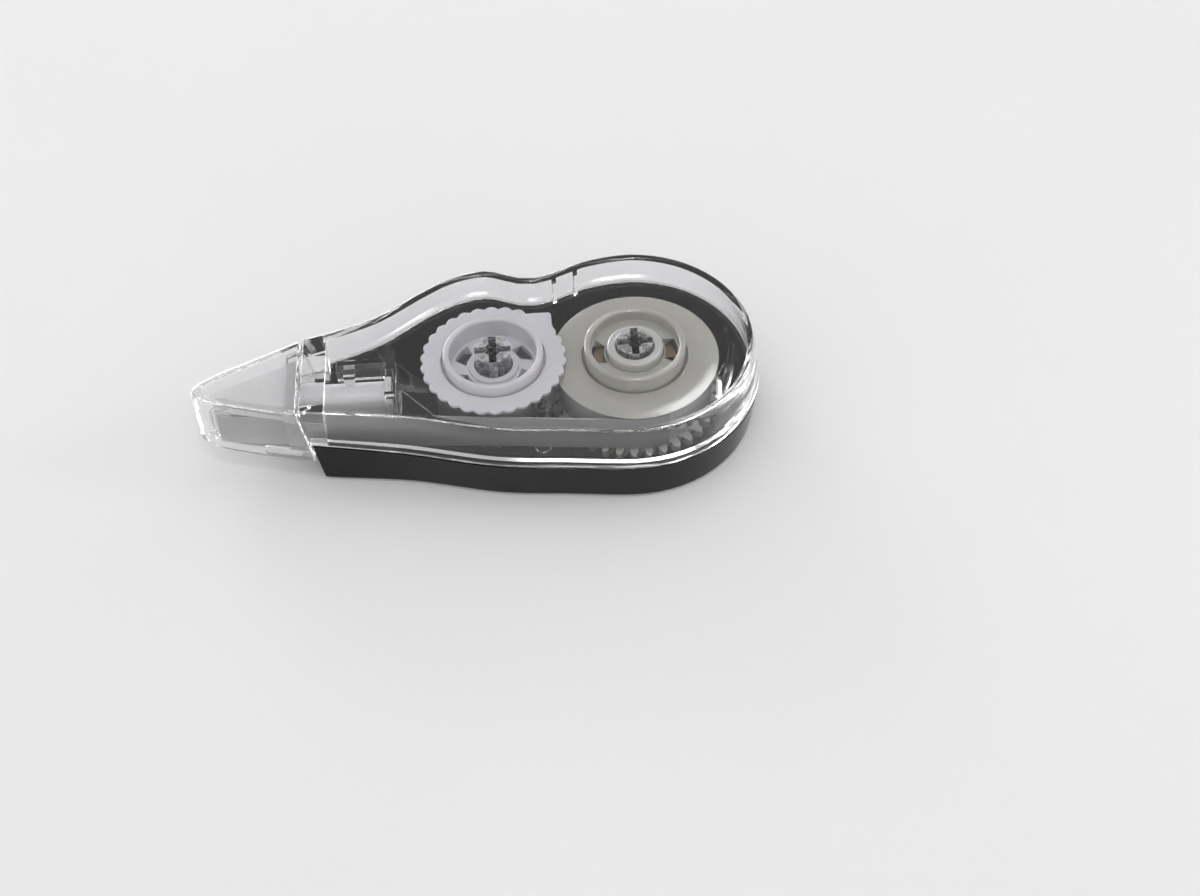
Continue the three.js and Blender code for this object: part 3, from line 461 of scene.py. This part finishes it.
black_finish.set("Specular IOR Level", BLACK_MIRRORING)
# Painted shade: the coated film is white, and its colour is painted darker to stand for the
# shade it lies in inside the case.
film_painted_shade = moulded("coated_film", (0.60, 0.60, 0.595, 1), (0.53, 0.53, 0.525, 1),
                      roughness=0.5)
print("moulded finishes mixed, bores dark to radius in mm:", round(BORE_RADIUS / MM, 2))

# %% [markdown]
# A wound roll shows its turns as very fine lines on its flat ends. The distance from the
# reel's axle drives a wave, so the lines run round the axle, and they tilt the surface rather
# than colour it much. Modelled rings would cost thousands of faces for the same look.

# %% Mix the wound finishes
TURN = 0.0003
TURN_DEPTH = 0.00002


def wound(name, light, dark, axle_x):
    """A finish with fine turns round the given axle."""
    finish = Finish(name, Roughness=0.42, IOR=1.5)
    turns = (finish.off_axle(axle_x) * (2 * math.pi / TURN)).math("SINE") * 0.5 + 0.5
    clouds = finish.noise(per_metre=300)
    finish.set("Base Color", finish.mix(turns * 0.6 + clouds * 0.4, dark, light))
    finish.bump(turns, TURN_DEPTH)
    return finish


roll_finish = wound("wound_tape", (0.86, 0.86, 0.87, 1), (0.74, 0.74, 0.76, 1), SUPPLY_AXLE)
liner_roll_finish = wound("wound_liner", (0.78, 0.76, 0.74, 1), (0.66, 0.64, 0.62, 1),
                          TAKE_UP_AXLE)
print("wound finishes mixed, one turn in mm:", round(TURN / MM, 2))

# %% [markdown]
# The solids have knife-sharp edges, which no moulding has. Each visible piece starts as a
# copy of its solid. The copy drops the mark that makes it a solid, its loose triangles are
# merged, and flat areas are made whole. The solid itself stays untouched.

# %% Copy a solid
MERGE = 2e-6
FLAT_ANGLE = math.radians(0.6)


def only(obj):
    """Makes obj the only selected and active object."""
    bpy.ops.object.select_all(action="DESELECT")
    obj.select_set(True)
    bpy.context.view_layer.objects.active = obj


def copy_of(node):
    """A merged copy of a solid, with its flat areas made whole."""
    only(frame["nodes"][node])
    bpy.ops.object.duplicate()
    piece = bpy.context.object
    piece.name = node + "_moulding"
    del piece["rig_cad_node"]
    bpy.ops.object.mode_set(mode="EDIT")
    bpy.ops.mesh.select_all(action="SELECT")
    bpy.ops.mesh.remove_doubles(threshold=MERGE)
    bpy.ops.mesh.dissolve_limited(angle_limit=FLAT_ANGLE)
    bpy.ops.object.mode_set(mode="OBJECT")
    return piece


print("helpers ready: only and copy_of")

# %% [markdown]
# Some edges are plainly round on the real pieces. The crown of a hub ring is one: its round
# top carries the white arcs. The edges of a crown are sharp and lie at the very top of their
# piece, so they are picked by these two marks and bevelled in three steps.

# %% Round a crown
CROWN_STEPS = 3
CROWN_SHARPNESS = math.radians(40)
LEVEL_BAND = 0.05


def round_crown(piece, radius):
    """Rounds the sharp edges at the top of a piece; the radius is in millimetres."""
    only(piece)
    bpy.ops.object.mode_set(mode="EDIT")
    bpy.ops.mesh.select_mode(type="EDGE")
    bpy.ops.mesh.select_all(action="DESELECT")
    bpy.ops.mesh.edges_select_sharp(sharpness=CROWN_SHARPNESS)
    bpy.ops.object.mode_set(mode="OBJECT")
    heights = [vertex.co.z / MM for vertex in piece.data.vertices]
    crown = max(heights) - LEVEL_BAND
    picked = 0
    for edge in piece.data.edges:
        edge.select = edge.select and all(heights[end] >= crown for end in edge.vertices)
        picked += edge.select
    bpy.ops.object.mode_set(mode="EDIT")
    bpy.ops.mesh.bevel(offset=radius * MM, segments=CROWN_STEPS, affect="EDGES")
    bpy.ops.mesh.select_all(action="SELECT")
    bpy.ops.mesh.remove_doubles(threshold=MERGE)
    bpy.ops.object.mode_set(mode="OBJECT")
    print(piece.name, "crown edges rounded:", picked)


print("helper ready: round_crown")

# %% [markdown]
# The large guide disc of the supply reel isn't flat to its edge: its outer two millimetres
# fall away a little, and that slope shines as a white crescent on the near right. The solid
# has a narrow bevel there. Moving the bevel's inner ring of points inwards and its outer ring
# down turns it into the slope, without a new face.

# %% Slope a rim
RIM_BEVEL = 0.2
RIM_BAND = 0.4


def slope_rim(piece, axle_x, width, drop):
    """Lets the outer part of a disc's upper face fall away; width and drop are in mm."""
    points = [vertex.co / MM for vertex in piece.data.vertices]
    top = max(point.z for point in points)
    offs = [math.hypot(point.x - axle_x / MM, point.y) for point in points]
    rim = max(offs)

    def pick(low, high):
        """Selects the points near the rim that lie between two heights, in edit mode."""
        only(piece)
        bpy.ops.object.mode_set(mode="EDIT")
        bpy.ops.mesh.select_mode(type="VERT")
        bpy.ops.mesh.select_all(action="DESELECT")
        bpy.ops.object.mode_set(mode="OBJECT")
        for vertex, point, off in zip(piece.data.vertices, points, offs):
            vertex.select = off > rim - RIM_BAND and low < point.z < high
        bpy.ops.object.mode_set(mode="EDIT")

    shrink = (rim - width) / (rim - RIM_BEVEL)
    pick(top - LEVEL_BAND, top + LEVEL_BAND)
    bpy.ops.transform.resize(value=(shrink, shrink, 1), center_override=(axle_x, 0, 0))
    bpy.ops.object.mode_set(mode="OBJECT")
    pick(top - RIM_BEVEL - LEVEL_BAND, top - LEVEL_BAND)
    bpy.ops.transform.translate(value=(0, 0, -drop * MM))
    bpy.ops.object.mode_set(mode="OBJECT")
    print(piece.name, "rim slopes over mm:", width)


print("helper ready: slope_rim")

# %% [markdown]
# The last step is the same for every piece. A narrow bevel softens all edges that are still
# sharp, so that they catch the light. The shading is smooth, but the large flat faces rule
# the normals: on a clear roof, normals that lean towards the rim would bend everything seen
# through it. Then the piece gets its finish, and rides on its body in its solid's place.

# %% Dress a piece
SHARP_ANGLE = math.radians(32)
FLATS_RULE = 100


def dress(piece, finish, body, soften=0):
    """Softens a piece by so many millimetres, shades it and puts it in its solid's place."""
    only(piece)
    if soften:
        rounding = piece.modifiers.new("rounding", "BEVEL")
        rounding.width = soften * MM
        rounding.segments = 2
        rounding.limit_method = "ANGLE"
        rounding.angle_limit = SHARP_ANGLE
        bpy.ops.object.modifier_apply(modifier=rounding.name)
    bpy.ops.object.shade_smooth_by_angle(angle=SHARP_ANGLE)
    flats_first = piece.modifiers.new("flats_first", "WEIGHTED_NORMAL")
    flats_first.weight = FLATS_RULE
    flats_first.keep_sharp = True
    bpy.ops.object.modifier_apply(modifier=flats_first.name)
    piece.data.materials.clear()
    piece.data.materials.append(finish.material)
    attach(piece, body)
    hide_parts(piece.name.removesuffix("_moulding"))
    print(piece.name, "faces:", len(piece.data.polygons))


print("helper ready: dress")

# %% [markdown]
# The case is a dark polished half below the seam and a clear half above it, with walls that
# lean in towards the top. Their edges are softened more than those of the reels, because the
# long bright and dark lines on the case come from them. The guide sleeve is a short clear
# tube on a pin, which leads the film round the near side.

# %% Dress the case
dress(copy_of("lower_case"), black_finish, "case", soften=0.12)
dress(copy_of("upper_case"), clear_shell, "case", soften=0.12)
dress(copy_of("film_guide_sleeve"), clear_small, "case", soften=0.1)

# %% [markdown]
# The applicator is a white head that is widest at its root, and a thin see-through blade that
# it holds. The coated film runs to the blade's tip and the bare liner runs back from it. Both
# are cut strips, so their edges stay sharp.

# %% Dress the applicator and the film
dress(copy_of("applicator_head"), head_finish, "case", soften=0.15)
dress(copy_of("applicator_tip"), tip_finish, "case", soften=0.06)
dress(copy_of("feed_film"), film_painted_shade, "case")
dress(copy_of("return_film"), liner_finish, "case")

# %% [markdown]
# The cap is a thin clear hood that pulls off over the tip. It has a body of its own, so it
# slides away and leaves nothing behind.

# %% Dress the cap
dress(copy_of("cap"), clear_cap, "cap", soften=0.12)

# %% [markdown]
# The take-up reel winds up the used liner. Its hub ring stands nearly up to the roof and has a
# round crown. The thin flange below it has a scalloped rim and one pointed tab, by which the
# reel can be seen to turn.

# %% Dress the take-up reel
take_up_spool = copy_of("take_up_spool")
round_crown(take_up_spool, radius=0.36)
dress(take_up_spool, take_up_finish, "take_up_reel", soften=0.1)
dress(copy_of("take_up_flange"), take_up_finish, "take_up_reel", soften=0.1)
dress(copy_of("take_up_roll"), liner_roll_finish, "take_up_reel")

# %% [markdown]
# The supply reel is two bodies. The gear, with the pale sleeve in the middle and the amber
# clutch band round it, is geared to the take-up reel. The spool, the disc and the roll of
# tape slip on it. The hub ring and the sleeve both have round crowns.

# %% Dress the supply reel
supply_spool = copy_of("supply_spool")
round_crown(supply_spool, radius=0.36)
dress(supply_spool, supply_finish, "supply_spool", soften=0.1)
supply_gear = copy_of("supply_gear")
round_crown(supply_gear, radius=0.4)
dress(supply_gear, sleeve_finish, "supply_gear", soften=0.08)
dress(copy_of("slip_clutch"), amber_finish, "supply_gear", soften=0.08)
supply_flange = copy_of("supply_flange")
slope_rim(supply_flange, SUPPLY_AXLE, width=1.9, drop=0.12)
dress(supply_flange, disc_finish, "supply_spool", soften=0.08)
dress(copy_of("supply_roll"), roll_finish, "supply_spool")
